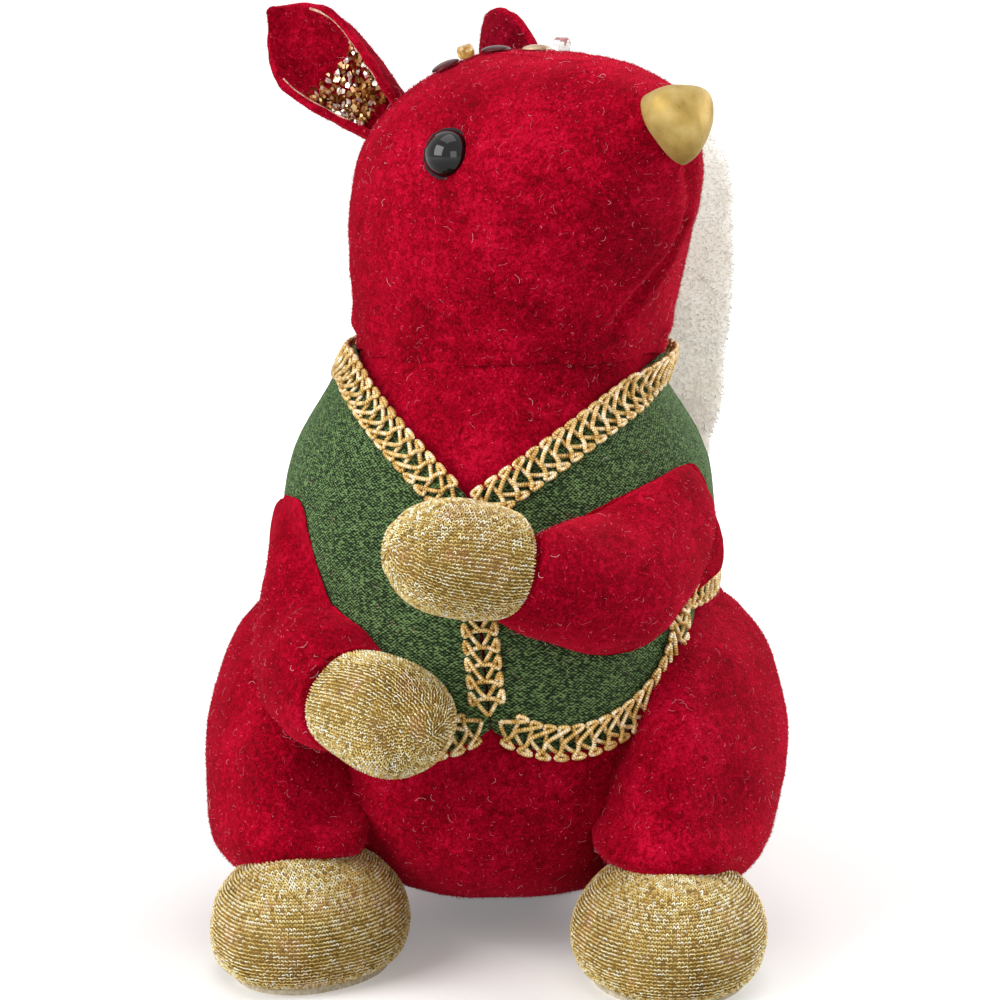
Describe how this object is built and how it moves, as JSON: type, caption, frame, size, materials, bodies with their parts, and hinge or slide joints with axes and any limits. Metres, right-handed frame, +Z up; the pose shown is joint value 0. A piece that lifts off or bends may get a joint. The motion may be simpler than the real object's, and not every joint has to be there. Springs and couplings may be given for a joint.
{
  "type": "squirrel figurine",
  "caption": "Sitting stuffed-velvet squirrel ornament with a turned head, posable arms, a braid-trimmed vest, glitter-knit paws and a plush tail; stands on its feet and rump.",
  "frame": {"origin": "on the floor, under the middle of the figurine's outer box", "axes": "+Z up, the figure faces -Y, +X to its left"},
  "size_m": [0.1262, 0.1708, 0.1996],
  "materials": {
    "velvet": "short-pile polyester velvet, crimson",
    "filling": "light polystyrene foam and fibre filling",
    "lurex_knit": "gold metallised knit",
    "felt": "pale felt",
    "vest_velvet": "green knitted velvet",
    "gimp_braid": "looped gold gimp braid",
    "plush": "short cream plush",
    "eye_plastic": "polished black",
    "nose_gold": "brushed gold paint",
    "glass_chips": "crushed clear and amber glass",
    "sequin": "glossy cupped sequins",
    "gold_bead": "gold-lined glass",
    "clear_bead": "clear glass",
    "dowel_wood": "plain beech",
    "pin_steel": "drawn wire"
  },
  "bodies": {
    "body": {"body_cover": "velvet", "body_core": "filling", "seat_disc": "felt", "neck_dowel": "dowel_wood", "tail_peg": "dowel_wood", "right_shoulder_pin": "pin_steel", "left_shoulder_pin": "pin_steel", "vest_right_front": "vest_velvet", "vest_left_front": "vest_velvet", "vest_back": "vest_velvet", "neckline_braid_right": "gimp_braid", "neckline_braid_left": "gimp_braid", "neckline_braid_back": "gimp_braid", "hem_braid_right": "gimp_braid", "hem_braid_left": "gimp_braid", "hem_braid_back": "gimp_braid", "front_braid": "gimp_braid", "right_thigh_cover": "velvet", "left_thigh_cover": "velvet", "right_thigh_core": "filling", "left_thigh_core": "filling", "right_foot_cover": "lurex_knit", "left_foot_cover": "lurex_knit", "right_foot_core": "filling", "left_foot_core": "filling", "right_sole": "felt", "left_sole": "felt", "tail_cover": "plush", "tail_core": "filling"},
    "head": {"head_cover": "velvet", "head_core": "filling", "right_eye": "eye_plastic", "left_eye": "eye_plastic", "nose": "nose_gold", "right_ear": "velvet", "left_ear": "velvet", "right_ear_lining": "velvet", "left_ear_lining": "velvet", "right_ear_chips": "glass_chips", "left_ear_chips": "glass_chips", "crown_sequins": "sequin", "gold_bead": "gold_bead", "clear_bead": "clear_bead"},
    "right_arm": {"right_arm_cover": "velvet", "right_arm_core": "filling", "right_hand_cover": "lurex_knit", "right_hand_core": "filling"},
    "left_arm": {"left_arm_cover": "velvet", "left_arm_core": "filling", "left_hand_cover": "lurex_knit", "left_hand_core": "filling"}
  },
  "joints": [
    {"name": "neck_turn", "type": "hinge", "parent": "body", "child": "head", "pos_m": [0.003, -0.00535, 0.128], "axis": [0, 0, 1], "range_deg": [-20, 20]},
    {"name": "right_shoulder", "type": "hinge", "parent": "body", "child": "right_arm", "pos_m": [-0.04127, -0.02735, 0.07398], "axis": [-0.7094, -0.4967, -0.5], "range_deg": [0, 12]},
    {"name": "left_shoulder", "type": "hinge", "parent": "body", "child": "left_arm", "pos_m": [0.04151, -0.02735, 0.08602], "axis": [-0.7094, 0.4967, 0.5], "range_deg": [0, 12]}
  ]
}
